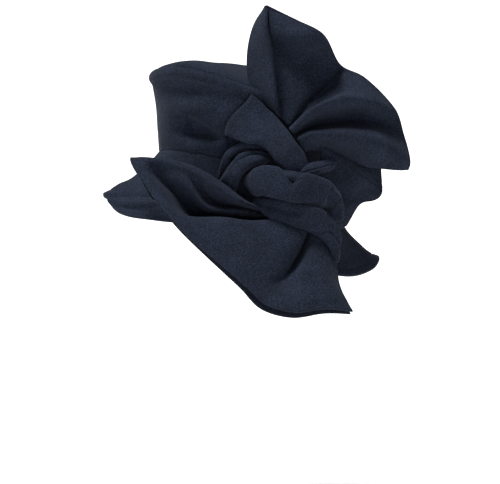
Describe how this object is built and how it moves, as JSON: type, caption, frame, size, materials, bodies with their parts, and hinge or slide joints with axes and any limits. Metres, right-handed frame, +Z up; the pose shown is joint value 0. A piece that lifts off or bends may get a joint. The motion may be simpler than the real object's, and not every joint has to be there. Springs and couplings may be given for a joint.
{
  "type": "knotted wool cloth hat",
  "caption": "Draped hat of thick wool cloth: oval crown, falling bell brim, and a twisted side knot with a standing pleated fan and a hanging folded wing.",
  "frame": {"origin": "middle of the head opening, where the hat sits on a head", "axes": "+Z up, -Y the way the wearer faces, +X the wearer's left, the side of the knot"},
  "size_m": [0.3018, 0.2925, 0.3112],
  "materials": {
    "wool": "matt napped wool",
    "wool_facing": "matt napped wool"
  },
  "bodies": {
    "root": {"crown_side": "wool", "crown_top": "wool", "brim": "wool", "centre_roll": "wool", "over_strap": "wool", "leaf_end": "wool", "inner_loop": "wool", "outer_loop": "wool", "lower_roll": "wool", "rim_fold": "wool", "fan": "wool", "wing": "wool", "wing_facing": "wool_facing", "back_flap": "wool"}
  },
  "joints": []
}
